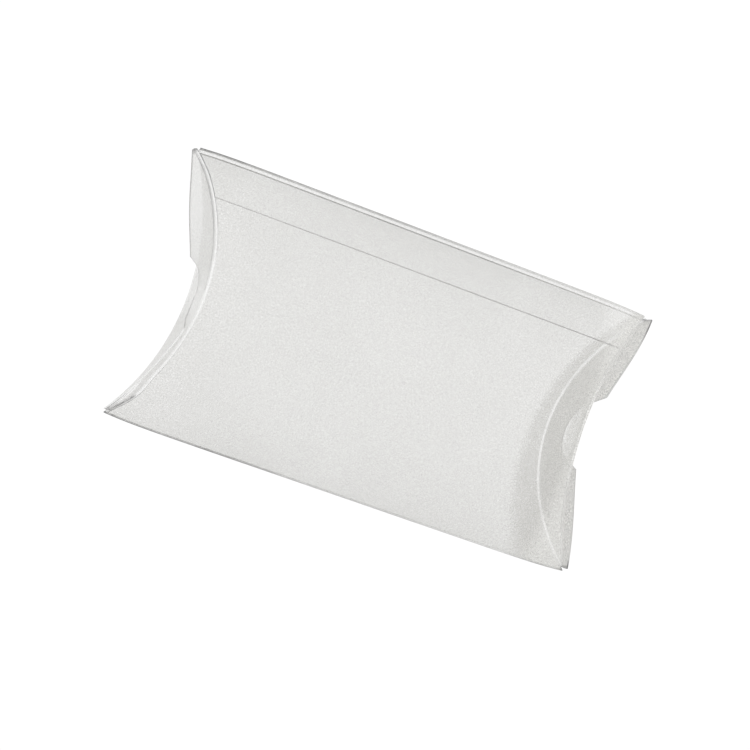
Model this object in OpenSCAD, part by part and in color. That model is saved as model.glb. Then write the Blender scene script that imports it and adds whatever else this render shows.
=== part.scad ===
// Clear plastic pillow box, lying on its back panel.
// X runs along the box, Y across it towards the glued seam, Z up through the front panel.
// The origin is under the middle of the box, on the surface it lies on.

/* [Box] */
// Length of the side folds, corner to corner
length = 163; // [130:1:240]
// Width across the two side folds
width = 90; // [76:1:120]
// Height from the crest of the back panel to the crest of the front panel
depth = 40; // [32:1:48]
// How far the middle of each end lies inward of its corners
end_dip = 15.8; // [12:0.2:20]

/* [Sheet] */
// Thickness of the plastic sheet
sheet = 0.4; // [0.3:0.05:0.6]
// Outside radius of the side folds
fold_r = 0.8; // [0.8:0.1:1.6]

/* [Seam] */
// Distance from the seam fold to the inner edge of the glue tab, along Y
tab_w = 15; // [8:0.5:22]
// Distance from the seam fold to the free edge of the front panel, along Y
seam_step = 2.2; // [1.4:0.1:5]
// How much of the seam fold is cut away at each corner
seam_relief = 1.9; // [1:0.1:3]

/* [Flaps] */
// Distance from each flap's pointed ends to the side fold beside them
tip_inset = 1.1; // [0.8:0.1:3]
// How far a flap's pointed ends reach past the middle plane
tip_reach = 4; // [2:0.5:8]
// How far short of the opposite crest a flap ends
crest_gap = 0.3; // [0.2:0.1:1]
// Width of the thumb notch at the flap's free edge
notch_w = 25.4; // [20:0.2:32]
// Radius of the round bottom of the thumb notch
notch_r = 9.5; // [6:0.5:9.5]
// How far the bottom of the notch passes the middle plane
notch_past = 0.8; // [0.6:0.1:3]

/* [Right end] */
// Inward lean of the inner flap
inner_lean = 1.5; // [1:0.5:8]
// Outward lean of the outer flap when shut
outer_lean = 2.2; // [1:0.1:4]
// Space between the front panel's end and the outer flap that passes it
stack_gap = 0.25; // [0.2:0.05:0.6]
// Width of the score line that the outer flap turns on
score_gap = 0.15; // [0.1:0.05:0.3]

/* [Left end] */
// Outward spring of the front flap's free half
front_spring = 3.5; // [1.5:0.1:4]
// Outward spring of the back flap's free half
back_spring = 1.3; // [1:0.1:3]
// Inward lean of the tucked halves at their free edges
tuck_in = 1.2; // [1:0.1:4]
// Clearance between a tucked flap and the panel it points at
tuck_gap = 0.5; // [0.3:0.1:1]

/* [Hidden] */
plastic = [0.9, 0.91, 0.92, 0.45];
arc_facets = 180;
relief_facets = 40;
// Points along each stretch of a twisted flap's outline
outline_steps = 8;
// Share of its radius at which the notch's straight side starts, just inside the round bottom
side_start = 0.97;
// How far inside the notch each shoulder's arc levels out
level_inset = 2;
// Offset of a free half's tip, in steps of the stagger, and of a tucked half's, as a share of its lean
tip_lift = 0.7;
tip_share = 0.1;
// Overlap that joins the twisted flaps to the panel ends
weld = 0.05;
// Room by which cutting shapes overrun what they cut
over = 30;

half_w = width / 2;
crest = depth / 2;
// Each panel is an arc whose centre lies panel_drop beyond the middle plane
fold_y = half_w - fold_r;
panel_r = (pow(fold_y, 2) + pow(crest, 2) - pow(fold_r, 2)) / (2 * (crest - fold_r));
panel_drop = panel_r - crest;

// The seam fold joins the back panel to the glue tab, one sheet inside the front panel
seam_z = (pow(panel_r - sheet - fold_r, 2) - pow(panel_r - fold_r, 2)) / (4 * panel_drop);
seam_y = sqrt(pow(panel_r - fold_r, 2) - pow(panel_drop - seam_z, 2));
seam_edge = seam_y + fold_r;
// The two folds stand equally far from the origin
centre_y = (half_w - seam_edge) / 2;

// Flap outlines, as distances from the middle plane
flap_y = half_w - tip_inset;
flap_top = crest - crest_gap;
// Each shoulder is an arc that levels out inside the notch
shoulder_y = notch_w / 2 - level_inset;
shoulder_rise = flap_top - tip_reach;
shoulder_run = flap_y - shoulder_y;
shoulder_r = (pow(shoulder_run, 2) + pow(shoulder_rise, 2)) / (2 * shoulder_rise);
shoulder_start = asin((notch_w / 2 - shoulder_y) / shoulder_r);
shoulder_end = asin(shoulder_run / shoulder_r);
notch_corner = [notch_w / 2, flap_top - shoulder_r * (1 - cos(shoulder_start))];
// Angle at which the notch's straight side leaves its round bottom
notch_y = notch_r - notch_past;
corner_way = notch_corner - [0, notch_y];
notch_turn = atan2(corner_way[1], corner_way[0]) - acos(notch_r / norm(corner_way));

// Mid-end creases: the right outer flap stands one sheet and a gap outside the inner one
mid_x = length / 2 - end_dip;
outer_mid_x = mid_x + sheet + stack_gap;
// At the left end the flaps pass each other, so each crease is set out on its outer side
stagger = sheet + stack_gap;

function end_radius(dip) = (pow(half_w, 2) + pow(dip, 2)) / (2 * dip);
function panel_z(y, r) = sqrt(pow(r, 2) - pow(y, 2)) - panel_drop;
// The left creases are shifted sideways, in opposite directions, which sets them out by the stagger
left_shift = stagger / width * end_radius(end_dip);
function crease_x(y) =
    mid_x + end_radius(end_dip)
    - sqrt(pow(end_radius(end_dip), 2) - pow(y + left_shift, 2));

// Shape in the YZ plane, drawn along X through the middle of the box
module along_x(reach) {
    translate([-reach / 2, centre_y, crest]) rotate([90, 0, 90]) linear_extrude(reach) children();
}

// The same, drawn only past the crease of the right end
module right_end_only() {
    translate([mid_x - over, centre_y, crest]) rotate([90, 0, 90]) linear_extrude(2 * over) children();
}

module disc(r, y, z) {
    translate([y, z]) circle(r, $fn = arc_facets);
}

// Area inside a lens of two arcs whose pointed sides are rounded by the folds
module lens(front_r, back_r, round_r, side_y, side_z) {
    span = side_y * back_r / (back_r - round_r);
    intersection() {
        disc(front_r, 0, -panel_drop);
        disc(back_r, 0, panel_drop);
        translate([-width, -crest]) square([width + span, depth]);
    }
    disc(round_r, side_y, side_z);
}

// Section of the plain tube: both panels and the fold on the -Y side
module plain_tube() {
    difference() {
        mirror([1, 0]) lens(panel_r, panel_r, fold_r, fold_y, 0);
        mirror([1, 0]) lens(panel_r - sheet, panel_r - sheet, fold_r - sheet, fold_y, 0);
    }
}

// Section of the back panel, the seam fold and the glue tab under the front panel
module seam_tube() {
    difference() {
        lens(panel_r - sheet, panel_r, fold_r, seam_y, seam_z);
        lens(panel_r - 2 * sheet, panel_r - sheet, fold_r - sheet, seam_y, seam_z);
    }
}

module sheet_section() {
    intersection() {
        plain_tube();
        union() {
            translate([-width, -depth]) square([width, 2 * depth]);
            translate([-width, 0]) square([width + seam_edge - seam_step, depth]);
        }
    }
    intersection() {
        seam_tube();
        union() {
            translate([0, -depth]) square([width, depth + seam_z]);
            translate([seam_edge - tab_w, -depth]) square([width, 2 * depth]);
        }
    }
}

// Outline of a flap, its hinge side down and its free edge up
module flap_outline() {
    difference() {
        intersection() {
            union() {
                translate([-shoulder_y, -crest]) square([2 * shoulder_y, crest + flap_top]);
                for (side = [-1, 1]) disc(shoulder_r, side * shoulder_y, flap_top - shoulder_r);
            }
            translate([-flap_y, -crest]) square([2 * flap_y, crest + flap_top]);
        }
        thumb_notch();
    }
}

module thumb_notch() {
    side = side_start * notch_r * [cos(notch_turn), sin(notch_turn)] + [0, notch_y];
    top = 2 * notch_corner - side;
    disc(notch_r, 0, notch_y);
    polygon([side, top, [-top[0], top[1]], [-side[0], side[1]]]);
}

// Round column whose near side is the outer face of an end wall, pivoted at the crest
module end_column(x, z, dip, lean, inward) {
    r = end_radius(dip) + inward;
    translate([x, centre_y, z]) rotate([0, lean, 0])
        translate([r - inward, 0, -2 * depth]) cylinder(r = r, h = 4 * depth, $fn = 2 * arc_facets);
}

module inner_column(inward) {
    end_column(mid_x, depth, end_dip + crest * tan(inner_lean), inner_lean, inward);
}

module outer_column(inward) {
    end_column(outer_mid_x, 0, end_dip - crest * tan(outer_lean), outer_lean, inward);
}

module left_column() {
    translate([-mid_x - end_radius(end_dip), centre_y, -over])
        cylinder(r = end_radius(end_dip), h = depth + 2 * over, $fn = 2 * arc_facets);
}

// Half-space above or below the middle plane
module side_of_middle(above) {
    translate([-length, -width, above ? crest : crest - 2 * depth]) cube([2 * length, 2 * width, 2 * depth]);
}

module panels() {
    difference() {
        along_x(length + over) sheet_section();
        intersection() { inner_column(0); side_of_middle(true); }
        intersection() { outer_column(sheet + score_gap); side_of_middle(false); }
        intersection() { translate([0, -left_shift, 0]) left_column(); side_of_middle(true); }
        intersection() { translate([0, left_shift, 0]) left_column(); side_of_middle(false); }
        for (side = [-1, 1])
            translate([side * length / 2, centre_y + seam_edge, 0])
                cylinder(r = seam_relief, h = depth, $fn = relief_facets);
    }
}

module right_inner_flap() {
    difference() {
        intersection() {
            inner_column(sheet);
            right_end_only() intersection() {
                mirror([0, 1]) flap_outline();
                disc(panel_r, 0, -panel_drop);
                disc(panel_r - sheet - tuck_gap, 0, panel_drop);
            }
        }
        inner_column(0);
    }
}

// Points [y, reach] along one half of a flap's free edge, from its notch to its tip
half_edge = concat(
    [for (i = [0:outline_steps])
        let (a = -90 + (notch_turn + 90) * i / outline_steps)
        [notch_r * cos(a), notch_y + notch_r * sin(a)]],
    [for (i = [0:2 * outline_steps])
        let (a = shoulder_start + (shoulder_end - shoulder_start) * i / (2 * outline_steps))
        [shoulder_y + shoulder_r * sin(a), flap_top - shoulder_r * (1 - cos(a))]]
);
// A tucked half stops inside the panel it points at
tucked_edge = [for (p = half_edge) [p[0], min(p[1], panel_z(p[0], panel_r - sheet - tuck_gap))]];

// Sideways place of the free edge: outward where the half is free, inward where it is tucked
function spring_out(v, spring) = spring * sin(180 * v) + tip_lift * stagger * v;
function spring_in(v) =
    -tuck_in * sin(180 * min(v, 0.5)) * (1 - (1 - tip_share) * max(0, 2 * v - 1));

// Sheet ruled by straight lines from its crease to its free edge, both lists of outer-face points
module ruled_sheet(rim, edge) {
    n = len(rim);
    inner = [for (p = concat(rim, edge)) p - [sheet, 0, 0]];
    points = concat(rim, edge, inner);
    rows = [[0, n], [n, 3 * n], [3 * n, 2 * n], [2 * n, 0]];
    polyhedron(points, concat(
        [for (r = rows) for (i = [0:n - 2]) for (half = [0, 1])
            half == 0 ? [r[0] + i, r[0] + i + 1, r[1] + i] : [r[0] + i + 1, r[1] + i + 1, r[1] + i]],
        [[0, n, 3 * n], [0, 3 * n, 2 * n]],
        [[n - 1, 4 * n - 1, 2 * n - 1], [n - 1, 3 * n - 1, 4 * n - 1]]
    ));
}

// Flap hung from the front crease: its +Y half lies outside the other flap, its -Y half inside
module lock_flap(spring) {
    free = [for (p = half_edge) let (v = p[0] / flap_y) [p[0], p[1], spring_out(v, spring)]];
    tucked = [for (i = [len(tucked_edge) - 1:-1:1]) let (p = tucked_edge[i])
        [-p[0], p[1], spring_in(p[0] / flap_y)]];
    all = concat(tucked, free);
    ruled_sheet(
        [for (p = all) [crease_x(p[0]) + weld, p[0], panel_z(p[0], panel_r - weld)]],
        [for (p = all) [crease_x(p[0]) + weld + p[2], p[0], -p[1]]]
    );
}

module left_flaps() {
    translate([0, centre_y, crest]) mirror([1, 0, 0]) {
        lock_flap(front_spring);
        rotate([180, 0, 0]) lock_flap(back_spring);
    }
}

// One die-cut sheet, folded and glued: both panels, the glue tab and the three held flaps
module folded_sheet() {
    color(plastic) {
        panels();
        right_inner_flap();
        left_flaps();
    }
}

// The flap that shuts last at the right end, turning on the back panel's crease
module right_outer_flap() {
    color(plastic) difference() {
        intersection() {
            outer_column(sheet);
            right_end_only() intersection() {
                flap_outline();
                disc(panel_r, 0, panel_drop);
            }
        }
        outer_column(0);
    }
}

folded_sheet();
right_outer_flap();
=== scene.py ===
"""Clear plastic pillow box: the looks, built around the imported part.

The box is one folded sheet of clear film. Every piece below is a surface on a grid of two
parameters, worked out in the part's own frame (metres, +X along the box, +Z up) and given
the film's thickness. The film's finish reads how far each point is from a crease and from a
cut edge, which each mesh carries as attributes.
"""

import logging
import math
from dataclasses import dataclass, field
from enum import Enum

import bpy
import numpy as np
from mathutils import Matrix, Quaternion, Vector

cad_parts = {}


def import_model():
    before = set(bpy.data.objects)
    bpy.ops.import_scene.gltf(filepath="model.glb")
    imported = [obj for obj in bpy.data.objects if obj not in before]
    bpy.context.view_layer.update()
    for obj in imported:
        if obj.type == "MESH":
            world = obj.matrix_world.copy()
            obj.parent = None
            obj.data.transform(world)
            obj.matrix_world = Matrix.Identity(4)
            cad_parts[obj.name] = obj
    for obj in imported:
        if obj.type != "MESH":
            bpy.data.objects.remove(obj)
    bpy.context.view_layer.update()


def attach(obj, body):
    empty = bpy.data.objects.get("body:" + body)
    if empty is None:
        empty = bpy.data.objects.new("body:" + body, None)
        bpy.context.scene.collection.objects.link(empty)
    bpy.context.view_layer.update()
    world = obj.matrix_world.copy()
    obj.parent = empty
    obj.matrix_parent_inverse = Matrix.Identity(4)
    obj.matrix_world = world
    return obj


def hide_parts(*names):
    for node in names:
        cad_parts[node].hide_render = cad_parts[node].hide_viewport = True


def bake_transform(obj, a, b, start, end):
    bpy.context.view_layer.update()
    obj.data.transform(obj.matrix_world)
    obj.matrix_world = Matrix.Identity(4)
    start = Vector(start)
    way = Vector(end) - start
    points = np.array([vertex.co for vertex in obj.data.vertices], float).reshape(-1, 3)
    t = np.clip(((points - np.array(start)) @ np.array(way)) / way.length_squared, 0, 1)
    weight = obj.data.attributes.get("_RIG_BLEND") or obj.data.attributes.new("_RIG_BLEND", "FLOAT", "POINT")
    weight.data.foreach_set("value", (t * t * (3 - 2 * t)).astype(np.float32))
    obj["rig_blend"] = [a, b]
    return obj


Array = np.ndarray
LOG = logging.getLogger("pillow_box")
FAR = 1.0  # a distance that stands for "nowhere near", in metres
Socket = bpy.types.NodeSocket
PLAIN_LOOK = {
    "veil": 1.0,
    "light": 0.0,
    "grain": 1.0,
    "rim": 1.0,
    "crease_pale": 1.0,
    "painted_limb_shade": 1.0,
    "painted_fold_shade": 1.0,
}


class End(Enum):
    """The box's two ends, by the sign of X."""

    RIGHT = 1
    LEFT = -1


class Panel(Enum):
    """The two curved panels, by the sign of Z from the middle plane."""

    FRONT = 1
    BACK = -1


@dataclass(frozen=True)
class BoxSizes:
    """The box's sizes in metres and degrees: the solid part's, and how handled film relaxes."""

    length: float = 0.163
    width: float = 0.090
    depth: float = 0.040
    end_dip: float = 0.0158
    sheet: float = 0.0004
    fold_r: float = 0.0008
    tab_w: float = 0.015
    seam_step: float = 0.0022
    seam_relief: float = 0.0019
    tip_inset: float = 0.0011
    tip_reach: float = 0.004
    crest_gap: float = 0.0003
    notch_w: float = 0.0254
    notch_r: float = 0.0095
    notch_past: float = 0.0008
    level_inset: float = 0.002
    inner_lean: float = 1.5
    outer_lean: float = 2.2
    stack_gap: float = 0.00025
    front_spring: float = 0.0035
    back_spring: float = 0.0013
    tuck_in: float = 0.0012
    tuck_gap: float = 0.0005
    tip_lift: float = 0.7
    tip_share: float = 0.1
    bend_r: float = 0.0011

    # from here on the scene's own: how the film relaxes
    left_skew: float = 1.3
    right_skew: float = 1.6
    upper_bulge: float = 0.00186
    lower_bulge: float = 0.0013
    twist: float = 0.0025
    twist_run: float = 0.6
    twist_fade: float = 0.85
    lift_end: float = 0.8
    crease_flare: float = 0.0006
    flare_start: float = 0.78
    flare_run: float = 0.2
    crease_sink: float = 0.0010
    sink_start: float = 0.62
    fold_bow: float = 0.0009
    crest_sag: float = 0.0006
    relaxed_power: int = 10

    @property
    def half_w(self) -> float:
        """Half the width over the side folds."""
        return self.width / 2

    @property
    def crest(self) -> float:
        """Height of each panel's crest from the middle plane."""
        return self.depth / 2

    @property
    def fold_y(self) -> float:
        """Distance of the plain fold's axis from the middle."""
        return self.half_w - self.fold_r

    @property
    def panel_r(self) -> float:
        """Outer radius of a panel, from the arc through its crest that touches the fold."""
        rise = self.crest - self.fold_r
        return (self.fold_y**2 + self.crest**2 - self.fold_r**2) / (2 * rise)

    @property
    def drop(self) -> float:
        """Distance of each panel's centre beyond the middle plane."""
        return self.panel_r - self.crest

    @property
    def seam_z(self) -> float:
        """Height of the seam fold's axis, one sheet inside the front panel."""
        inside = (self.panel_r - self.sheet - self.fold_r) ** 2
        return (inside - (self.panel_r - self.fold_r) ** 2) / (4 * self.drop)

    @property
    def seam_y(self) -> float:
        """Distance of the seam fold's axis from the middle."""
        return math.sqrt((self.panel_r - self.fold_r) ** 2 - (self.drop - self.seam_z) ** 2)

    @property
    def seam_edge(self) -> float:
        """Outermost reach of the seam fold."""
        return self.seam_y + self.fold_r

    @property
    def centre_y(self) -> float:
        """Shift that sets the two folds equally far from the origin."""
        return (self.half_w - self.seam_edge) / 2

    @property
    def mid_x(self) -> float:
        """Distance of a crease's middle from the box's middle."""
        return self.length / 2 - self.end_dip

    @property
    def stagger(self) -> float:
        """Step from one flap to the flap outside it."""
        return self.sheet + self.stack_gap

    def end_radius(self, dip: float) -> float:
        """Radius of an end seen from above: the arc through both corners that dips by dip."""
        return (self.half_w**2 + dip**2) / (2 * dip)

    def panel_z(self, y: Array, inset: float = 0.0) -> Array:
        """Height of a panel over the middle plane, inset below its outer face."""
        return np.sqrt((self.panel_r - inset) ** 2 - y**2) - self.drop


@dataclass(frozen=True)
class Crease:
    """Where one end flap turns from its panel, and how the wall there leans.

    Args:
        sizes: The box's sizes.
        end: The end of the box.
        panel: The panel that the flap hangs from.
    """

    sizes: BoxSizes
    end: End
    panel: Panel

    def eased(self, v: Array) -> Array:
        """How far the left front crease stands out: a flare at one tip, a sine dip by the other.

        Args:
            v: Places across the box, from -1 at the plain fold to 1 at the seam.

        Returns:
            The distance outward from the plain curve.
        """
        s = self.sizes
        if self.end is End.RIGHT or self.panel is Panel.BACK:
            return np.zeros(np.shape(v))
        into_dip = np.clip((-v - s.sink_start) / (1 - s.sink_start), 0.0, 1.0)
        flare = s.crease_flare * smooth((v - s.flare_start) / s.flare_run)
        return flare - s.crease_sink * np.sin(math.pi * into_dip) ** 2

    def outer_x(self, y: Array, z: Array) -> Array:
        """Distance from the box's middle to the wall's outer face.

        The wall is a cylinder that stands upright at the left end. At the right end it leans
        about its crease, so its distance grows in proportion to the height from there.

        Args:
            y: Places across the box, from its middle.
            z: Heights from the middle plane.

        Returns:
            The distances along X, all positive.
        """
        s = self.sizes
        if self.end is End.LEFT:
            r = s.end_radius(s.end_dip)
            shift = s.stagger / s.width * r * self.panel.value
            return s.mid_x + r - np.sqrt(r**2 - (y + shift) ** 2) + self.eased(y / s.half_w)
        inner = self.panel is Panel.FRONT
        lean = math.radians(s.inner_lean if inner else s.outer_lean)
        dip = s.end_dip + s.crest * math.tan(lean) * (1 if inner else -1)
        start = s.mid_x if inner else s.mid_x + s.stagger
        pivot = s.crest if inner else -s.crest
        r = s.end_radius(dip)
        plan = (r - np.sqrt(r**2 - y**2)) / math.cos(lean)
        return start + plan + (z - pivot) * math.tan(lean)


@dataclass(frozen=True)
class FilmGrid:
    """A film's middle surface on a grid, with what its finish needs to know.

    Args:
        points: Middle surface, rows by columns by 3, in the part's frame.
        crease: Distance past the start of the nearest end crease, negative before it.
        fold: Distance from the middle of the nearest side fold.
        cut: Distance from the nearest cut edge.
        look: How strongly each of the finish's marks shows, where it isn't as in PLAIN_LOOK. A
        positive rim is painted shade and a negative one a painted highlight, and a crease's
        line the other way round.
    """

    points: Array
    crease: Array
    fold: Array
    cut: Array
    look: dict[str, Array | float] = field(default_factory=dict)

    def attributes(self) -> dict[str, Array]:
        """Each attribute that the finishes read, by its name."""
        shape = self.crease.shape
        full = PLAIN_LOOK | self.look
        look = {key: np.broadcast_to(value, shape) for key, value in full.items()}
        return {"crease_m": self.crease, "fold_m": self.fold, "cut_m": self.cut} | look


def smooth(v: Array) -> Array:
    """A smooth step: none up to 0, one from 1 on, and level at both."""
    v = np.clip(v, 0.0, 1.0)
    return v * v * (3 - 2 * v)


@dataclass(frozen=True)
class Fade:
    """A value that changes in smooth steps along a run."""

    base: float
    changes: tuple[tuple[float, float, float], ...] = ()  # each one's amount, start and length

    def at(self, place: Array) -> Array:
        """The value at each place of the run."""
        value = np.full(np.shape(place), self.base)
        for amount, start, length in self.changes:
            value = value + amount * smooth((place - start) / length)
        return value


def unit(v: Array) -> Array:
    """Each vector divided by its own length."""
    return v / np.maximum(np.linalg.norm(v, axis=-1, keepdims=True), 1e-12)


def grid_normals(points: Array) -> Array:
    """Unit normals of a grid: the cross product of its two directions at every point."""
    down = np.gradient(points, axis=0)
    along = np.gradient(points, axis=1)
    return unit(np.cross(down, along))


def distance_to_line(points: Array, line: Array) -> Array:
    """Shortest distance from each point to a line of straight stretches.

    A point is dropped square onto each stretch, kept between the stretch's two ends, and the
    nearest foot wins.

    Args:
        points: Rows by columns of points in a plane.
        line: The line's points in order.

    Returns:
        One distance for each point.
    """
    start, way = line[:-1], np.diff(line, axis=0)
    from_start = points[..., None, :] - start
    share = (from_start * way).sum(-1) / np.maximum((way**2).sum(-1), 1e-18)
    foot = np.clip(share, 0.0, 1.0)[..., None] * way
    return np.linalg.norm(from_start - foot, axis=-1).min(-1)


def quads(rows: int, cols: int, flip: bool = False) -> Array:
    """Corner numbers of every cell in a grid, counted row by row."""
    i, j = np.meshgrid(np.arange(rows - 1), np.arange(cols - 1), indexing="ij")
    a = (i * cols + j).ravel()
    cell = np.stack([a, a + cols, a + cols + 1, a + 1], axis=1)
    return cell[:, ::-1] if flip else cell


def film_mesh(name: str, grid: FilmGrid, thickness: float) -> bpy.types.Object:
    """A closed film: the middle surface moved half its thickness both ways along its normals.

    Four strips of faces join the two skins round the rim. They use the second material, and
    the skins the first.

    Args:
        name: The piece's name.
        grid: The film's middle surface and its distances.
        thickness: The film's thickness.

    Returns:
        The new object, at the origin.
    """
    rows, cols = grid.points.shape[:2]
    normal = grid_normals(grid.points)
    outer = grid.points + normal * thickness / 2
    inner = grid.points - normal * thickness / 2
    count = rows * cols
    index = np.arange(count).reshape(rows, cols)
    rim = np.concatenate([index[:, 0], index[-1, 1:], index[-2::-1, -1], index[0, -2:0:-1]])
    after = np.roll(rim, -1)
    faces = np.concatenate(
        [
            quads(rows, cols),
            quads(rows, cols, flip=True) + count,
            np.stack([rim, rim + count, after + count, after], axis=1),
        ]
    )
    verts = np.concatenate([outer.reshape(-1, 3), inner.reshape(-1, 3)])
    mesh = bpy.data.meshes.new(name)
    mesh.from_pydata(verts.tolist(), [], faces.tolist())
    for label, values in grid.attributes().items():
        attribute = mesh.attributes.new(label, "FLOAT", "POINT")
        attribute.data.foreach_set("value", np.tile(values.ravel(), 2).astype(np.float32))
    slots = np.zeros(len(faces), np.int32)
    slots[-len(rim) :] = 1
    mesh.polygons.foreach_set("material_index", slots)
    mesh.polygons.foreach_set("use_smooth", slots == 0)
    mesh.update()
    obj = bpy.data.objects.new(name, mesh)
    bpy.context.collection.objects.link(obj)
    return obj


def spread(*stops: tuple[float, int]) -> Array:
    """Rising values through the given stops, each with its number of steps from the last."""
    parts = [np.array([stops[0][0]])]
    for (low, _), (high, steps) in zip(stops[:-1], stops[1:], strict=True):
        parts.append(np.linspace(low, high, steps + 1)[1:])
    return np.concatenate(parts)


# ---------------------------------------------------------------- finishes


class Nodes:
    """A small helper that adds nodes to a tree and links them from left to right."""

    def __init__(self, tree: bpy.types.NodeTree) -> None:
        """Keeps the tree and clears what a new material holds."""
        self.tree = tree
        tree.nodes.clear()

    def add(self, kind: str, **values: object) -> bpy.types.Node:
        """A new node of one kind, with its properties set."""
        node = self.tree.nodes.new(kind)
        for key, value in values.items():
            setattr(node, key, value)
        return node

    def plug(self, node: bpy.types.Node, socket: str | int, source: object) -> None:
        """Sets a socket to a value, or links another node's output to it."""
        if isinstance(source, bpy.types.NodeSocket):
            self.tree.links.new(source, node.inputs[socket])
        else:
            node.inputs[socket].default_value = source

    def math(self, operation: str, *sources: object, clamp: bool = False) -> Socket:
        """The result of a maths node on the given values or sockets."""
        node = self.add("ShaderNodeMath", operation=operation, use_clamp=clamp)
        for i, source in enumerate(sources):
            self.plug(node, i, source)
        return node.outputs[0]

    def fold(self, operation: str, first: object, *others: object) -> Socket:
        """The same maths operation through all the given sources, from left to right."""
        for other in others:
            first = self.math(operation, first, other)
        return first

    def ramp(
        self, value: object, low: object, high: object, start: float = 0.0, end: float = 1.0
    ) -> Socket:
        """A smooth step from start to end as the value goes from low to high."""
        node = self.add("ShaderNodeMapRange", interpolation_type="SMOOTHSTEP")
        keys = ("Value", "From Min", "From Max", "To Min", "To Max")
        for key, source in zip(keys, (value, low, high, start, end), strict=True):
            self.plug(node, key, source)
        return node.outputs["Result"]

    def within(self, distance: object, unit: object, inner: float, outer: float) -> Socket:
        """One up to inner units of distance, and none past outer ones."""
        ends = (self.math("MULTIPLY", unit, share) for share in (inner, outer))
        return self.ramp(distance, *ends, 1.0, 0.0)

    def mix(self, share: object, low: object, high: object) -> Socket:
        """Two colours mixed by a share."""
        node = self.add("ShaderNodeMix", data_type="RGBA")
        self.plug(node, "Factor", share)
        for socket, colour in ((6, low), (7, high)):
            self.plug(node, socket, (*colour, 1.0) if isinstance(colour, tuple) else colour)
        return node.outputs[2]

    def attribute(self, name: str) -> Socket:
        """A number that the mesh carries at each point."""
        return self.add("ShaderNodeAttribute", attribute_name=name).outputs["Fac"]

    def noise(self, vector: object, scale: float, detail: float, rough: float = 0.5) -> Socket:
        """A noise texture's value, about a half on average."""
        node = self.add("ShaderNodeTexNoise")
        self.plug(node, "Vector", vector)
        self.plug(node, "Scale", scale)
        self.plug(node, "Detail", detail)
        self.plug(node, "Roughness", rough)
        return node.outputs["Fac"]


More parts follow.
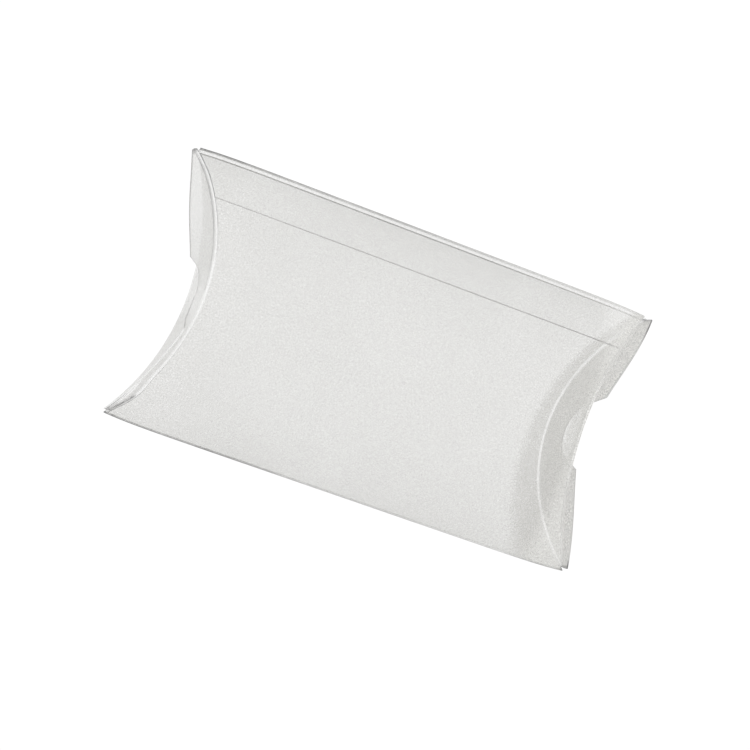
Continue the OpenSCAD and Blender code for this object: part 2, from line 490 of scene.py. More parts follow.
class FilmMarks:
    """A node group of masks: grain, haze, crease whitening with painted highlight, painted shade."""

    NAME = "film_marks"
    INPUTS = (("Grain Size", 0.0005), ("Bend Length", 0.0010), ("Line Width", 0.0004))
    OUTPUTS = ("Grain", "White", "Dark", "Haze")
    HAZE_SCALE = 38.0
    BREAK_SCALE = 600.0
    BEND_START = (-0.0003, 0.0001)  # metres
    BEND_END = (0.8, 1.2)  # bend lengths
    PAIR_GAP = 0.35  # bend lengths
    STROKE = (0.3, 0.7)  # bend lengths
    LIMB_AT = 1.7  # bend lengths
    LIMB = (0.5, 1.8)  # line widths
    FOLD = (0.9, 2.1)  # line widths
    CORNER = (0.0812, 0.0446)  # metres
    SPOT = (0.0004, 0.0026)  # metres

    @classmethod
    def build(cls) -> bpy.types.NodeTree:
        """Makes the group once.

        The grain is fine noise in the part's own coordinates and the haze is slow noise. The
        white is two lines along a crease's bend, its whitening with a painted highlight, and a
        pale rim, a painted highlight. The dark is painted shade: the greatest of a crease marked
        as dark, the limb where its bend ends, a side fold's middle, the line beside a cut edge
        and a spot at each corner.

        Returns:
            The node group.
        """
        if cls.NAME in bpy.data.node_groups:
            return bpy.data.node_groups[cls.NAME]
        tree = bpy.data.node_groups.new(cls.NAME, "ShaderNodeTree")
        for label, value in cls.INPUTS:
            socket = tree.interface.new_socket(label, in_out="INPUT", socket_type="NodeSocketFloat")
            socket.default_value = value
        for label in cls.OUTPUTS:
            tree.interface.new_socket(label, in_out="OUTPUT", socket_type="NodeSocketFloat")
        nodes = Nodes(tree)
        given = nodes.add("NodeGroupInput").outputs
        result = nodes.add("NodeGroupOutput")
        place = nodes.add("ShaderNodeTexCoord").outputs["Object"]
        line, bend = given["Line Width"], given["Bend Length"]

        fine = nodes.noise(place, nodes.math("DIVIDE", 1.0, given["Grain Size"]), 2.0, 0.7)
        grain = nodes.math("SUBTRACT", nodes.ramp(fine, 0.3, 0.7), 0.5)
        nodes.plug(result, "Grain", nodes.math("MULTIPLY", grain, nodes.attribute("grain")))
        slow = nodes.noise(place, cls.HAZE_SCALE, 3.0, 0.55)
        nodes.plug(result, "Haze", nodes.ramp(slow, 0.3, 0.7))

        broken = nodes.ramp(nodes.noise(place, cls.BREAK_SCALE, 3.0, 0.6), 0.25, 0.65, 0.75)
        worn = nodes.ramp(slow, 0.35, 0.65, 0.75)
        # the rim: painted shade beside a cut edge where positive, a painted highlight where negative
        edge = nodes.ramp(nodes.attribute("cut_m"), 0.0, line, 1.0, 0.0)
        rim = nodes.math("MULTIPLY", edge, nodes.attribute("rim"))
        # a crease's white lines: its whitening with a painted highlight along the bend
        crease = nodes.attribute("crease_m")
        ended = nodes.within(crease, bend, *cls.BEND_END)
        pale = nodes.attribute("crease_pale")
        band = nodes.fold("MULTIPLY", nodes.ramp(crease, *cls.BEND_START), ended, pale)
        middle = nodes.math("SUBTRACT", crease, nodes.math("MULTIPLY", bend, 0.5))
        middle = nodes.math("ABSOLUTE", middle)
        double = nodes.ramp(middle, 0.0, nodes.math("MULTIPLY", bend, cls.PAIR_GAP), 0.45)
        white = nodes.fold("MULTIPLY", band, double, broken)
        white = nodes.math("MAXIMUM", white, nodes.math("MULTIPLY", rim, -1.0))
        white = nodes.math("MAXIMUM", nodes.math("MINIMUM", white, 1.0), 0.0)
        nodes.plug(result, "White", white)

        # painted shade at the limb where a crease's bend ends
        past = nodes.math("SUBTRACT", crease, nodes.math("MULTIPLY", bend, cls.LIMB_AT))
        limb = nodes.within(nodes.math("ABSOLUTE", past), line, *cls.LIMB)
        limb = nodes.math("MULTIPLY", limb, nodes.attribute("painted_limb_shade"))
        # painted shade along each side fold's middle
        side = nodes.within(nodes.attribute("fold_m"), line, *cls.FOLD)
        side = nodes.math("MULTIPLY", side, nodes.attribute("painted_fold_shade"))
        # a spot of painted shade at each corner of the box
        parts = nodes.add("ShaderNodeSeparateXYZ")
        nodes.plug(parts, "Vector", place)
        squares = []
        for axis, at in zip("XY", cls.CORNER, strict=True):
            gap = nodes.math("SUBTRACT", nodes.math("ABSOLUTE", parts.outputs[axis]), at)
            squares.append(nodes.math("MULTIPLY", gap, gap))
        distance = nodes.math("SQRT", nodes.math("ADD", *squares))
        corner = nodes.ramp(distance, *cls.SPOT, 0.9, 0.0)
        core = nodes.fold("MULTIPLY", band, nodes.within(middle, bend, *cls.STROKE), -1.0)
        dark = nodes.fold("MAXIMUM", limb, side, rim, corner, core)
        nodes.plug(result, "Dark", nodes.fold("MULTIPLY", dark, worn, broken))
        return tree


@dataclass(frozen=True)
class ClearFilm:
    """The film's clear, slightly hazy finish.

    Args:
        name: The material's name.
        tint: The colour that the film scatters.
        painted_light_tint: The painted light: a lighter colour for film that catches the light across an
            end.
        crease_white_and_highlight: The colour of a crease's whitening and painted highlight,
        and of a pale rim, a painted highlight.
        painted_shade_colour: The colour of the dark lines of painted shade.
        veil: How much of what lies behind it one skin of film hides, seen square on.
        rake: How much more it hides at a grazing angle.
        rake_power: How fast that grows towards the grazing angle.
        grain: How strongly the grain shows in the veil.
        speckle: How strongly the grain shows in the colour.
        haze: How strongly the slow haze shows in the veil.
        white_cover: How much a crease's whitening and painted highlight hide.
        shade_cover: How much a dark line of painted shade hides.
        gloss: The skin's roughness.
    """

    name: str = "clear_film"
    tint: tuple[float, float, float] = (0.42, 0.415, 0.395)
    painted_light_tint: tuple[float, float, float] = (0.60, 0.595, 0.575)
    crease_white_and_highlight: tuple[float, float, float] = (0.97, 0.97, 0.97)
    painted_shade_colour: tuple[float, float, float] = (0.05, 0.05, 0.05)
    veil: float = 0.165
    rake: float = 1.65
    rake_power: float = 3.2
    grain: float = 0.20
    speckle: float = 0.35
    haze: float = 0.02
    white_cover: float = 0.32
    shade_cover: float = 0.45
    gloss: float = 0.3

    def build(self) -> bpy.types.Material:
        """Makes the material.

        The alpha is the veil with its grain and haze, plus the rake times a power of the
        facing value, both taken as strongly as the mesh's veil attribute says, plus the
        whitening with its painted highlight and the dark lines of painted shade. The colour goes
        from the tint to the painted light tint with the mesh's light attribute, which is painted
        light, and is speckled by the grain. It goes to white over a crease's bend, its whitening
        and a painted highlight, and to near black in the dark lines of painted shade.

        Returns:
            The finished material.
        """
        material = bpy.data.materials.new(self.name)
        material.use_nodes = True
        nodes = Nodes(material.node_tree)
        out = nodes.add("ShaderNodeOutputMaterial")
        skin = nodes.add("ShaderNodeBsdfPrincipled")
        marks = nodes.add("ShaderNodeGroup", node_tree=FilmMarks.build()).outputs
        nodes.plug(skin, "Roughness", self.gloss)
        nodes.plug(skin, "IOR", 1.5)

        grained = nodes.math("ADD", 1.0, nodes.math("MULTIPLY", marks["Grain"], self.speckle))
        speckled = nodes.add("ShaderNodeVectorMath", operation="SCALE")
        # painted light: film that catches the light across an end takes the lighter tint
        nodes.plug(speckled, 0, nodes.mix(nodes.attribute("light"), self.tint, self.painted_light_tint))
        nodes.plug(speckled, "Scale", grained)
        colour = nodes.mix(marks["White"], speckled.outputs[0], self.crease_white_and_highlight)
        nodes.plug(skin, "Base Color", nodes.mix(marks["Dark"], colour, self.painted_shade_colour))

        facing = nodes.add("ShaderNodeLayerWeight")
        nodes.plug(facing, "Blend", 0.5)
        steep = nodes.math("POWER", facing.outputs["Facing"], self.rake_power)
        veil = nodes.fold(
            "ADD",
            self.veil,
            nodes.math("MULTIPLY", marks["Grain"], self.grain),
            nodes.math("MULTIPLY", marks["Haze"], self.haze),
            nodes.math("MULTIPLY", steep, self.rake),
        )
        veil = nodes.math("MULTIPLY", veil, nodes.attribute("veil"))
        white = nodes.math("MULTIPLY", marks["White"], self.white_cover)
        dark = nodes.math("MULTIPLY", marks["Dark"], self.shade_cover)
        lines = nodes.math("ADD", white, dark)
        nodes.plug(skin, "Alpha", nodes.math("ADD", veil, lines, clamp=True))

        bump = nodes.add("ShaderNodeBump")
        nodes.plug(bump, "Strength", 0.25)
        nodes.plug(bump, "Distance", 0.0002)
        nodes.plug(bump, "Height", marks["Haze"])
        nodes.plug(skin, "Normal", bump.outputs["Normal"])
        nodes.plug(out, "Surface", skin.outputs[0])
        return material


@dataclass(frozen=True)
class CutEdge:
    """The film's cut rim, which looks dark because light is caught inside the sheet."""

    name: str = "film_cut_edge"
    # the cut edge's painted shade, darker or lighter at random
    dark: tuple[float, float, float] = (0.09, 0.09, 0.09)
    worn: tuple[float, float, float] = (0.20, 0.20, 0.20)
    # a painted highlight along a pale cut edge
    pale: tuple[float, float, float] = (0.95, 0.95, 0.95)
    cover: float = 0.85
    wear_scale: float = 160.0
    gloss: float = 0.3

    def build(self) -> bpy.types.Material:
        """Makes the material: a rim of painted shade, or of a painted highlight where the mesh says pale.

        It is uneven along its length.

        Returns:
            The finished material.
        """
        material = bpy.data.materials.new(self.name)
        material.use_nodes = True
        nodes = Nodes(material.node_tree)
        out = nodes.add("ShaderNodeOutputMaterial")
        skin = nodes.add("ShaderNodeBsdfPrincipled")
        place = nodes.add("ShaderNodeTexCoord").outputs["Object"]
        rim = nodes.attribute("rim")
        wear = nodes.ramp(nodes.noise(place, self.wear_scale, 3.0, 0.6), 0.35, 0.7)
        uneven = nodes.mix(wear, self.dark, self.worn)
        is_pale = nodes.math("LESS_THAN", rim, 0.0)
        nodes.plug(skin, "Base Color", nodes.mix(is_pale, uneven, self.pale))
        strength = nodes.math("ABSOLUTE", rim)
        nodes.plug(skin, "Alpha", nodes.math("MULTIPLY", strength, self.cover, clamp=True))
        nodes.plug(skin, "Roughness", self.gloss)
        nodes.plug(out, "Surface", skin.outputs[0])
        return material


@dataclass(frozen=True)
class Finishes:
    """The two materials of every film piece."""

    film: bpy.types.Material
    edge: bpy.types.Material

    def dress(self, obj: bpy.types.Object) -> None:
        """Puts the film on a piece's skins and the cut edge on its rim.

        Clear film casts no shadow that can be seen, so the piece lets the lamps' light pass.

        Args:
            obj: The piece.
        """
        obj.data.materials.append(self.film)
        obj.data.materials.append(self.edge)
        obj.visible_shadow = False
        obj.visible_diffuse = False


# ---------------------------------------------------------------- the tube


@dataclass(frozen=True)
class Section:
    """The tube's section at the film's middle, from the front panel's free edge to the tab's.

    Args:
        y: Places across the box.
        z: Heights from the middle plane.
        fold: Distance from the middle of the nearer side fold.
        cut: Distance from the nearer of the sheet's two long edges.
        front: True on the front panel, the tab and the upper half of each fold.
    """

    y: Array
    z: Array
    fold: Array
    cut: Array
    front: Array


class CreaseLines:
    """How strongly each end crease's line shows, pale above none and dark below it.

    The pale is the crease's whitening with a painted highlight, and the dark is painted
    shade. Each fade runs over the share of the way from the middle to the plain fold.
    """

    LEFT_FRONT = Fade(0.9, ((-0.35, 0.0, 0.3), (-1.8, 0.80, 0.06)))
    LEFT_BACK = Fade(-0.35, ((-0.75, 0.5, 0.2),))
    RIGHT_FRONT = Fade(0.10, ((0.08, 0.15, 0.3), (0.3, 0.7, 0.15)))
    RIGHT_BACK = Fade(0.8)

    @classmethod
    def over(cls, front: Array, right: Array, low: Array) -> Array:
        """Each point's strength, from the crease of its own panel and end."""
        at_right = np.where(front, cls.RIGHT_FRONT.at(low), cls.RIGHT_BACK.at(low))
        at_left = np.where(front, cls.LEFT_FRONT.at(low), cls.LEFT_BACK.at(low))
        return np.where(right, at_right, at_left)


@dataclass(frozen=True)
class Wrap:
    """Both panels, the plain fold, the seam fold and the glue tab, as one closed film.

    Args:
        sizes: The box's sizes.
        panel_steps: Steps across each panel.
        fold_steps: Steps round each fold.
        top_wall_reflection: Strength of the painted reflection of the right end wall, a soft
            dark band beside the front panel's right crease.
        low_wall_reflection: Strength of that painted reflection beside the back panel's right
            crease.
        reflection_narrow: Its reach beside the seam.
        reflection_wide: Its reach beside the plain fold.
    """

    sizes: BoxSizes
    panel_steps: int = 110
    fold_steps: int = 14
    top_wall_reflection: float = 0.8
    low_wall_reflection: float = 1.4
    reflection_narrow: float = 0.0060
    reflection_wide: float = 0.0220

    LIGHT_RUN = 0.008
    GRAIN = Fade(0.8, ((0.5, 0.75, 0.25),))
    TAB_GRAIN = 1.6
    TAB_RIM = (0.6, 0.4)
    FRONT_RIM = Fade(0.85, ((-0.55, 0.5, 0.4),))
    FOLD_SHADE = Fade(0.2, ((0.3, 0.85, 0.1),))
    FOLD_SHADE_LEFT = 1.15
    FOLD_SHADE_POWER = 1.5

    def section(self) -> Section:
        """The section's path: five arcs, each touching the next.

        Panels are arcs about centres beyond the middle plane, folds are small arcs about
        their own axes, and the tab is an arc one sheet inside the front panel.

        Returns:
            The section as rows of points.
        """
        s = self.sizes
        half = s.sheet / 2
        turn = s.fold_r - half
        front_end = math.asin((s.seam_edge - s.seam_step) / (s.panel_r - half))
        side = math.atan2(s.fold_y, s.drop)
        seam_back = math.atan2(s.seam_y, s.drop - s.seam_z)
        seam_front = math.atan2(s.seam_y, s.drop + s.seam_z)
        tab_end = math.asin((s.seam_edge - s.tab_w) / (s.panel_r - s.sheet - half))

        def arc(y: float, z: float, r: float, a: float, b: float, steps: int) -> Array:
            t = np.linspace(a, b, steps + 1)
            return np.stack([y + r * np.sin(t), z + r * np.cos(t)], axis=1)

        front = arc(0.0, -s.drop, s.panel_r - half, front_end, -side, self.panel_steps)
        plain = arc(-s.fold_y, 0.0, turn, -side, -math.pi + side, self.fold_steps)
        back_ends = (math.pi + side, math.pi - seam_back)
        back = arc(0.0, s.drop, s.panel_r - half, *back_ends, self.panel_steps)
        seam = arc(s.seam_y, s.seam_z, turn, math.pi - seam_back, seam_front, self.fold_steps)
        tab_r = s.panel_r - s.sheet - half
        tab = arc(0.0, -s.drop, tab_r, seam_front, tab_end, self.panel_steps // 3)
        path = np.concatenate([front, plain[1:], back[1:], seam[1:], tab[1:]])
        run = np.concatenate([[0.0], np.cumsum(np.linalg.norm(np.diff(path, axis=0), axis=1))])
        n = len(front) - 1
        plain_mid = run[n + self.fold_steps // 2]
        seam_mid = run[n + self.fold_steps + self.panel_steps + self.fold_steps // 2]
        fold = np.minimum(np.abs(run - plain_mid), np.abs(run - seam_mid))
        cut = np.minimum(run, run[-1] - run)
        is_front = (run < plain_mid) | (run > seam_mid)
        return Section(path[:, 0], path[:, 1], fold, cut, is_front)

    def reach(self, section: Section, end: End) -> Array:
        """How far each line of the section runs towards one end.

        That is up to the bend of the flap there, and at the corner of the seam fold up to
        the round relief.

        Args:
            section: The tube's section.
            end: The end of the box.

        Returns:
            One distance along X for each point of the section.
        """
        s = self.sizes
        front = Crease(s, end, Panel.FRONT).outer_x(section.y, section.z)
        back = Crease(s, end, Panel.BACK).outer_x(section.y, section.z)
        reach = np.where(section.front, front, back) - s.bend_r
        step = s.seam_relief**2 - (s.seam_edge - section.y) ** 2
        relief = s.length / 2 - np.sqrt(np.maximum(step, 0.0))
        near_seam = (step > 0) & (section.y > 0)
        return np.where(near_seam, np.minimum(reach, relief), reach)

    def look(self, section: Section, x: Array) -> dict[str, Array]:
        """How the marks show over the tube.

        The glued tab adds no veil of its own. A painted reflection of the right end wall is a
        soft dark band beside each panel's right crease, whose reach grows by the third power
        towards the plain fold. The front panel takes painted light near its right crease. The
        grain grows towards both ends. Long cut edges carry painted shade, darker to the left on
        the front panel and to the right on the tab. The side folds carry painted shade, stronger
        towards the left end.

        Args:
            section: The tube's section.
            x: Places along the box, one row for each point of the section.

        Returns:
            The strength of each mark at each point.
        """
        s = self.sizes
        y, front = section.y[:, None], section.front[:, None]
        on_tab = (np.arange(len(y)) > len(y) - self.panel_steps // 3)[:, None]
        top_crease, low_crease = (
            Crease(s, End.RIGHT, panel).outer_x(section.y, section.z)[:, None]
            for panel in (Panel.FRONT, Panel.BACK)
        )
        # painted reflection of the right end wall: a soft dark band beside each right crease
        from_seam = 1 - (y / s.half_w + 1) / 2
        reach = self.reflection_narrow + (self.reflection_wide - self.reflection_narrow) * from_seam**3
        from_crease = np.where(front, top_crease, low_crease) - x
        band = smooth((1 - from_crease / reach) / 0.5)
        band = band * np.where(front, self.top_wall_reflection, self.low_wall_reflection)
        along = x / s.length + 0.5
        to_left = np.clip(1 - along, 0.0, 1.0)
        low = np.broadcast_to(-y / s.half_w, x.shape)
        right = x > 0
        # painted light on the front panel near its right crease
        lit = smooth((x - s.mid_x + self.LIGHT_RUN / 2) / self.LIGHT_RUN)
        tab_start, tab_more = self.TAB_RIM
        return {
            "veil": np.where(on_tab, 0.0, 1.0) + band,
            "light": np.where(front & right, lit, 0.0),
            "grain": self.GRAIN.at(np.abs(x) / s.mid_x)
            + np.where(on_tab, self.TAB_GRAIN * (1 - along), 0.0),
            "rim": np.where(on_tab, tab_start + tab_more * along, self.FRONT_RIM.at(along)),
            # painted shade along the side folds, stronger towards the left end
            "painted_fold_shade": self.FOLD_SHADE.at(along) + self.FOLD_SHADE_LEFT * to_left**self.FOLD_SHADE_POWER,
            "crease_pale": CreaseLines.over(front, right, low),
            "painted_limb_shade": np.zeros(x.shape),
        }

    def build(self, finishes: Finishes) -> bpy.types.Object:
        """The film: the section carried along X between its two ends' curves.

        Between the ends the film relaxes: the folds bow outward and the crests sag. Both fall
        away by a high power of the distance from the middle, to none at the corners.

        Args:
            finishes: The film's materials.

        Returns:
            The new piece.
        """
        s = self.sizes
        section = self.section()
        right, left = self.reach(section, End.RIGHT), self.reach(section, End.LEFT)
        near = ((0.0, 0), (0.0012, 8), (0.004, 8), (0.012, 8), (0.03, 6))
        inset = spread(*near, (s.mid_x - 0.004, 6))
        from_right = right[:, None] - inset[None, ::-1]
        from_left = inset[None, :] - left[:, None]
        x = np.concatenate([from_left, from_right], axis=1)
        bowed = 1 - np.minimum(np.abs(x) / (s.length / 2), 1.0) ** s.relaxed_power
        y = section.y[:, None] * (1 + s.fold_bow / s.half_w * bowed)
        z = section.z[:, None] * (1 - s.crest_sag / s.crest * bowed)
        points = np.stack([x, y + s.centre_y, z + s.crest], axis=2)
        to_end = np.broadcast_to(np.concatenate([inset, inset[::-1]])[None, :], x.shape)
        flapped = np.abs(section.y)[:, None] < s.half_w - s.tip_inset
        crease = np.where(flapped, -to_end, -FAR)
        fold = np.broadcast_to(section.fold[:, None], x.shape)
        cut = np.minimum(section.cut[:, None], np.where(flapped, FAR, to_end))
        film = FilmGrid(points, crease, fold, cut, self.look(section, x))
        obj = film_mesh("panels_and_seam", film, s.sheet)
        finishes.dress(obj)
        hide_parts("folded_sheet")
        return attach(obj, "box")


# ---------------------------------------------------------------- the flaps


@dataclass(frozen=True)
class Outline:
    """A flap's free edge, as how far it reaches past the middle plane.

    Args:
        sizes: The box's sizes.
    """

    sizes: BoxSizes

    def columns(self) -> Array:
        """Places across a flap, close together at the notch, its corners and the tips."""
        s = self.sizes
        half = s.notch_w / 2
        bottom = s.notch_r * np.sin(np.linspace(0.0, math.pi / 2, 22))
        side = spread((s.notch_r, 0), (half - 0.0002, 16), (half + 0.0002, 3))
        shoulder = spread((half + 0.0002, 0), (s.half_w - s.tip_inset, 46))
        right = np.unique(np.round(np.concatenate([bottom, side, shoulder]), 7))
        return np.concatenate([-right[:0:-1], right])

    def shoulder(self, y: Array) -> Array:
        """Reach past the middle plane without the notch: an arc that is level at the notch.

        Args:
            y: Places across the flap, from its middle.

        Returns:
            The reach at each place.
        """
        s = self.sizes
        top = s.crest - s.crest_gap
        level = s.notch_w / 2 - s.level_inset
        rise = top - s.tip_reach
        run = s.half_w - s.tip_inset - level
        r = (run**2 + rise**2) / (2 * rise)
        past = np.maximum(np.abs(y) - level, 0.0)
        return top - r + np.sqrt(np.maximum(r**2 - past**2, 0.0))

    def reach(self, y: Array) -> Array:
        """Reach of the free edge past the middle plane.

        The notch has a round bottom and straight flared sides that touch it, and its depth
        wins over the shoulder's.

        Args:
            y: Places across the flap, from its middle.

        Returns:
            The reach at each place.
        """
        s = self.sizes
        away = np.abs(y)
        shoulder = self.shoulder(y)
        corner = float(self.shoulder(np.array([s.notch_w / 2]))[0])
        bottom = s.notch_r - s.notch_past
        way = math.atan2(corner - bottom, s.notch_w / 2)
        turn = way - math.acos(s.notch_r / math.hypot(s.notch_w / 2, corner - bottom))
        touch_y = s.notch_r * math.cos(turn)
        touch_z = bottom + s.notch_r * math.sin(turn)
        slope = (corner - touch_z) / (s.notch_w / 2 - touch_y)
        round_part = bottom - np.sqrt(np.maximum(s.notch_r**2 - away**2, 0.0))
        straight = touch_z + (away - touch_y) * slope
        notch = np.where(away < touch_y, round_part, straight)
        return np.where(away < s.notch_w / 2, np.minimum(notch, shoulder), shoulder)


@dataclass(frozen=True)
class FlapMarks:
    """How strongly the finish's marks show on one flap.

    The light is the share of the painted light tint. The tuples are for the free edge's line,
    painted shade where positive and a painted highlight where negative, on a free half, in
    its notch and on a tucked half, and for the bend's limb of painted shade on the seam's
    half and on the other.
    """

    crease: Fade
    light: float
    grain: float
    veil: Fade
    rims: tuple[float, float, float] = (0.0, 0.0, 0.0)
    tip_rim: float = 0.0
    limb: tuple[float, float] = (0.0, 0.0)
    tip_limb: float = 0.0
    edge_fade: float = 0.0
    notch_veil: float = 0.0


LEFT_FRONT_MARKS = FlapMarks(
    CreaseLines.LEFT_FRONT,
    light=0.80,
    grain=1.1,
    veil=Fade(0.46, ((-0.2, -0.3, 0.4),)),
    rims=(0.8, 0.4, 0.06),
    limb=(1.0, 0.35),
    tip_limb=0.9,
)
LEFT_BACK_MARKS = FlapMarks(
    CreaseLines.LEFT_BACK,
    light=0.80,
    grain=1.1,
    veil=Fade(0.2, ((0.4, 0.0, 0.3),)),
    rims=(-0.45, 0.4, 0.06),
    limb=(0.6, 0.6),
    tip_limb=0.6,
)
RIGHT_INNER_MARKS = FlapMarks(
    CreaseLines.RIGHT_FRONT,
    light=1.0,
    grain=1.6,
    veil=Fade(0.60),
    tip_rim=0.3,
    limb=(0.1, 0.1),
    edge_fade=0.009,
    notch_veil=1.9,
)
RIGHT_OUTER_MARKS = FlapMarks(
    CreaseLines.RIGHT_BACK,
    light=0.85,
    grain=1.5,
    veil=Fade(1.35),
    rims=(0.22, 0.25, 0.22),
    tip_rim=0.9,
    limb=(0.12, 0.12),
)


@dataclass(frozen=True)
class Flap:
    """One end flap: a bend out of its panel and a curved wall across the end.

    Args:
        sizes: The box's sizes.
        name: The piece's name.
        end: The end of the box.
        panel: The panel that the flap hangs from.
        marks: How strongly the finish's marks show.
        spring: How far a left flap's free half stands out, and none at the right end.
        tucked: True where the flap has to stop inside the panel it points at.
    """

    sizes: BoxSizes
    name: str
    end: End
    panel: Panel
    marks: FlapMarks
    spring: float = 0.0
    tucked: bool = False

    # where each step starts and how long it takes, in flap halves
    SEAM_TIP = (0.74, 0.2)
    PLAIN_TIP = (0.92, 0.06)
    LIMB_TIP = (0.70, 0.15)
    NOTCH_HALF = 0.28
    NOTCH_FADE = (0.25, 0.2)
    NOTCH_DEPTH = (0.011, 0.008)  # metres from the free edge

    @property
    def outline(self) -> Outline:
        """The outline that all four flaps share."""
        return Outline(self.sizes)

    def sideways(self, y: Array) -> Array:
        """Sideways place of the flap's free edge, measured from its own plain wall.

        A free half stands out by a half sine wave, skewed towards its tip. At the left end a
        tucked half leans in by a quarter wave that fades again towards its tip. The right
        outer flap is free on both sides of its notch and twists a little, so its lower half
        stands further in.

        Args:
            y: Places across the flap, from its middle.

        Returns:
            How far outward the edge stands at each place.
        """
        s = self.sizes
        v = np.clip(np.abs(y) / (s.half_w - s.tip_inset), 0.0, 1.0)
        if self.end is End.LEFT:
            lift = s.tip_lift * s.stagger * v
            if self.panel is Panel.FRONT:
                lift = lift * (1 - smooth((v - s.lift_end) / (1 - s.lift_end)))
            out = self.spring * np.sin(math.pi * v**s.left_skew) + lift
            fade = 1 - (1 - s.tip_share) * np.maximum(0.0, 2 * v - 1)
            lean = -s.tuck_in * np.sin(math.pi * np.minimum(v, 0.5)) * fade
            return np.where(y * self.panel.value > 0, out, lean)
        if self.tucked:
            return np.zeros(y.shape)
        bulge = np.where(y > 0, s.upper_bulge, s.lower_bulge) * np.sin(math.pi * v**s.right_skew)
        turned = smooth(0.5 - y / (s.twist_run * s.half_w))
        return bulge - s.twist * turned * (1 - s.twist_fade * v)

    def grid(self) -> FilmGrid:
        """The flap's middle surface: each column turns through the bend and runs to the edge.

        A column starts on its panel, one bend radius short of the crease. It turns through
        a quarter circle and then runs in a straight line, upright or leaning, to the edge.

        Returns:
            The surface with its distances.
        """
        s = self.sizes
        side = self.panel.value
        outline = self.outline
        y = outline.columns()
        half = s.sheet / 2
        crease = Crease(s, self.end, self.panel)
        top = s.panel_z(y, half)
        reach = outline.reach(y)
        held_in = (y * side < 0) if self.end is End.LEFT else np.full(y.shape, self.tucked)
        limit = s.panel_z(y, s.sheet + s.tuck_gap)
        reach = np.where(held_in, np.minimum(reach, limit), reach)
        turn = s.bend_r - half
        quarter = np.linspace(0.0, math.pi / 2, 7)
        start_x = crease.outer_x(y, side * top) - s.bend_r
        bend_x = start_x[:, None] + turn * np.sin(quarter)[None, :]
        bend_z = top[:, None] - turn * (1 - np.cos(quarter))[None, :]
        v = spread((0.0, 0), (0.04, 3), (0.2, 5), (0.9, 14), (1.0, 5))[1:]
        low = bend_z[:, -1]
        wall_z = low[:, None] + (-reach - low)[:, None] * v[None, :]
        height = (low[:, None] - wall_z) / (low + outline.shoulder(y))[:, None]
        wall_x = bend_x[:, -1:] + self.sideways(y)[:, None] * height
        if self.end is End.RIGHT:
            leaned = crease.outer_x(y[:, None], side * wall_z)
            wall_x = wall_x + leaned - crease.outer_x(y, side * low)[:, None]
        x = np.concatenate([bend_x, wall_x], axis=1) * self.end.value
        z = np.concatenate([bend_z, wall_z], axis=1) * side
        across = np.broadcast_to(y[:, None], x.shape)
        points = np.stack([x, across + s.centre_y, z + s.crest], axis=2)
        in_bend = np.broadcast_to(turn * quarter[None, :], bend_x.shape)
        run = np.concatenate([in_bend, turn * math.pi / 2 + low[:, None] - wall_z], axis=1)
        rim = np.stack([y, -reach], axis=1)
        flat = np.stack([across, z * side], axis=2)
        tip = (s.half_w - s.tip_inset - np.abs(y))[:, None]
        edge = np.minimum(distance_to_line(flat, rim), tip)
        return FilmGrid(points, run, np.full(run.shape, FAR), edge, self.look(y, edge))

    def look(self, y: Array, edge: Array) -> dict[str, Array | float]:
        """How the marks show over the flap.

        A flap's edge carries a line of painted shade where it stands free against the light, a
        painted highlight where it lies against film, and hardly shows where it is tucked in.

        Args:
            y: Places across the flap, one for each column.
            edge: Distance from the free edge at each point.

        Returns:
            The strength of each mark.
        """
        s, marks = self.sizes, self.marks
        low = -y / (s.half_w - s.tip_inset)
        at_seam, at_plain, at_limb = (
            smooth((place - start) / length)
            for place, (start, length) in zip(
                (-low, low, low), (self.SEAM_TIP, self.PLAIN_TIP, self.LIMB_TIP), strict=True
            )
        )
        free_rim, notch_rim, tucked_rim = marks.rims
        free = (low * self.panel.value < 0) | (self.end is End.RIGHT)
        rim = np.where(np.abs(low) < self.NOTCH_HALF, notch_rim, free_rim)
        rim = np.where(free, rim, tucked_rim) + np.where(low < 0, at_seam, at_plain) * marks.tip_rim
        # the bend's limb of painted shade, stronger towards the plain fold's tip
        limb = np.where(low < 0, *marks.limb) + marks.tip_limb * at_limb
        veil = np.broadcast_to(marks.veil.at(low)[:, None], edge.shape)
        if marks.edge_fade:
            start, length = self.NOTCH_FADE
            beside = 1 - smooth((np.abs(low) - start) / length)
            start, length = self.NOTCH_DEPTH
            deep = smooth((edge - start) / length)
            veil = veil * smooth(edge / marks.edge_fade)
            veil = veil + marks.notch_veil * deep * beside[:, None]
        return {
            "veil": veil,
            "light": marks.light,
            "grain": marks.grain,
            "rim": rim[:, None],
            "crease_pale": marks.crease.at(low)[:, None],
            "painted_limb_shade": limb[:, None],
        }

    def build(self, finishes: Finishes) -> bpy.types.Object:
        """The flap as a closed film, dressed."""
        obj = film_mesh(self.name, self.grid(), self.sizes.sheet)
        finishes.dress(obj)
        return obj


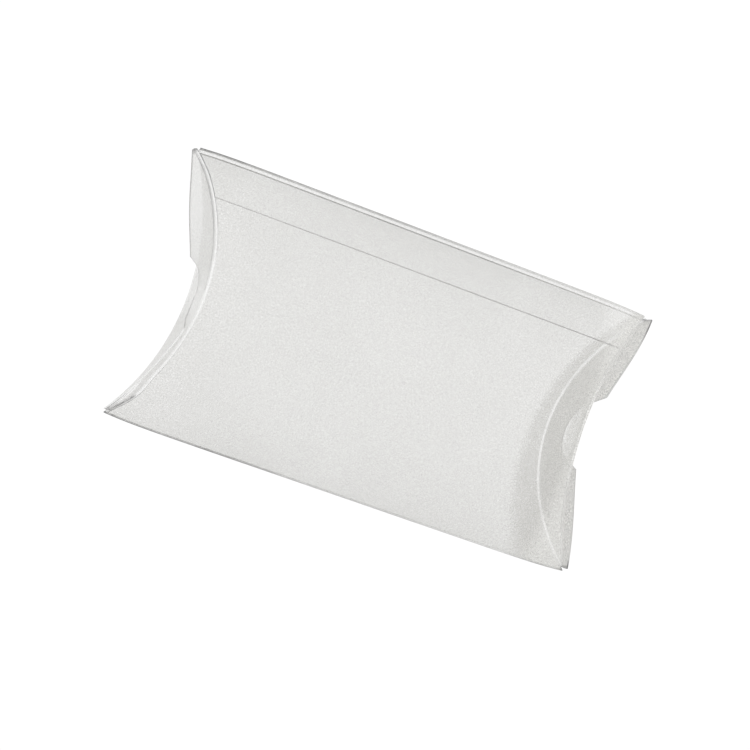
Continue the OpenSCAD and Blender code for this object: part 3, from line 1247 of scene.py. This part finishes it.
@dataclass(frozen=True)
class Ends:
    """The four flaps: two held at each end, but for the right outer one, which opens."""

    sizes: BoxSizes
    BLEND_LENGTH = 0.005

    def build(self, finishes: Finishes) -> list[bpy.types.Object]:
        """Makes the flaps, and bends the right outer one along its curved crease.

        Args:
            finishes: The film's materials.

        Returns:
            The four pieces.
        """
        s = self.sizes
        held = [
            Flap(s, "right_inner_flap", End.RIGHT, Panel.FRONT, RIGHT_INNER_MARKS, tucked=True),
            Flap(s, "left_front_flap", End.LEFT, Panel.FRONT, LEFT_FRONT_MARKS, s.front_spring),
            Flap(s, "left_back_flap", End.LEFT, Panel.BACK, LEFT_BACK_MARKS, s.back_spring),
        ]
        made = [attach(flap.build(finishes), "box") for flap in held]
        opening = Flap(s, "right_outer_flap_film", End.RIGHT, Panel.BACK, RIGHT_OUTER_MARKS)
        outer = opening.build(finishes)
        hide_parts("right_outer_flap")
        hinge = Vector((s.mid_x + s.stagger, s.centre_y, 0.0))
        along = Vector((s.end_dip, 0.0, s.crest)).normalized()
        away = Vector((-along.z, 0.0, along.x))
        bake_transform(outer, "box", "outer_flap", hinge, hinge + away * self.BLEND_LENGTH)
        return [*made, outer]


# ---------------------------------------------------------------- the studio


@dataclass(frozen=True)
class Studio:
    """A pale floor, soft light and the photograph's viewing angle.

    Args:
        sizes: The box's sizes.
        camera_at: The camera's place from the middle of the box.
        camera_turn: Its rotation as a quaternion.
        lens: Its focal length on the sensor.
    """

    sizes: BoxSizes
    camera_at: tuple[float, float, float] = (-0.141113, -0.046304, 0.642721)
    camera_turn: tuple[float, float, float, float] = (0.979535, 0.013319, -0.110480, 0.167715)
    lens: float = 96.934

    SENSOR = 36.0
    FLOOR_HALF = 3.0
    FLOOR_TONE = 0.83
    LAMP_SIDE = 1.6
    LAMPS = (
        ("key_light", (-0.3, 0.5, 1.6), 7.0),
        ("fill_light", (0.9, -0.7, 1.4), 4.0),
    )
    WORLD_LIGHT = 0.98

    def camera(self) -> None:
        """Adds the camera and makes it the scene's."""
        data = bpy.data.cameras.new("view")
        data.lens = self.lens
        data.sensor_width = self.SENSOR
        data.clip_start = 0.01
        cam = bpy.data.objects.new("view", data)
        middle = Vector((0.0, self.sizes.centre_y, self.sizes.crest))
        cam.location = middle + Vector(self.camera_at)
        cam.rotation_mode = "QUATERNION"
        cam.rotation_quaternion = Quaternion(self.camera_turn)
        bpy.context.collection.objects.link(cam)
        bpy.context.scene.camera = cam

    def floor(self) -> None:
        """Adds a wide pale floor just under the box."""
        mesh = bpy.data.meshes.new("floor")
        side = self.FLOOR_HALF
        corners = [(-side, -side, 0.0), (side, -side, 0.0), (side, side, 0.0), (-side, side, 0.0)]
        mesh.from_pydata(corners, [], [(0, 1, 2, 3)])
        obj = bpy.data.objects.new("floor", mesh)
        bpy.context.collection.objects.link(obj)
        material = bpy.data.materials.new("pale_floor")
        material.use_nodes = True
        skin = material.node_tree.nodes["Principled BSDF"]
        skin.inputs["Base Color"].default_value = (*[self.FLOOR_TONE] * 3, 1.0)
        skin.inputs["Roughness"].default_value = 0.9
        mesh.materials.append(material)

    def lamp(self, name: str, at: tuple[float, float, float], power: float) -> None:
        """Adds one square soft light that looks at the box."""
        data = bpy.data.lights.new(name, "AREA")
        data.shape = "SQUARE"
        data.size = self.LAMP_SIDE
        data.energy = power
        obj = bpy.data.objects.new(name, data)
        obj.location = at
        way = Vector((0.0, 0.0, self.sizes.crest)) - Vector(at)
        obj.rotation_euler = way.to_track_quat("-Z", "Y").to_euler()
        bpy.context.collection.objects.link(obj)

    def build(self) -> None:
        """Sets the camera, floor, lamps, world light and plain colours."""
        self.camera()
        self.floor()
        for name, at, power in self.LAMPS:
            self.lamp(name, at, power)
        world = bpy.data.worlds.new("studio")
        bpy.context.scene.world = world
        world.use_nodes = True
        background = world.node_tree.nodes["Background"]
        background.inputs["Color"].default_value = (1.0, 1.0, 1.0, 1.0)
        background.inputs["Strength"].default_value = self.WORLD_LIGHT
        bpy.context.scene.view_settings.view_transform = "Standard"


def main() -> None:
    """Builds the film pieces and the studio, and logs each piece's number of faces."""
    logging.basicConfig(level=logging.INFO, format="%(message)s")
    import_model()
    sizes = BoxSizes()
    finishes = Finishes(ClearFilm().build(), CutEdge().build())
    pieces = [Wrap(sizes).build(finishes), *Ends(sizes).build(finishes)]
    for piece in pieces:
        LOG.info("%s: %d faces", piece.name, len(piece.data.polygons))
    Studio(sizes).build()


if __name__ == "__main__":
    main()
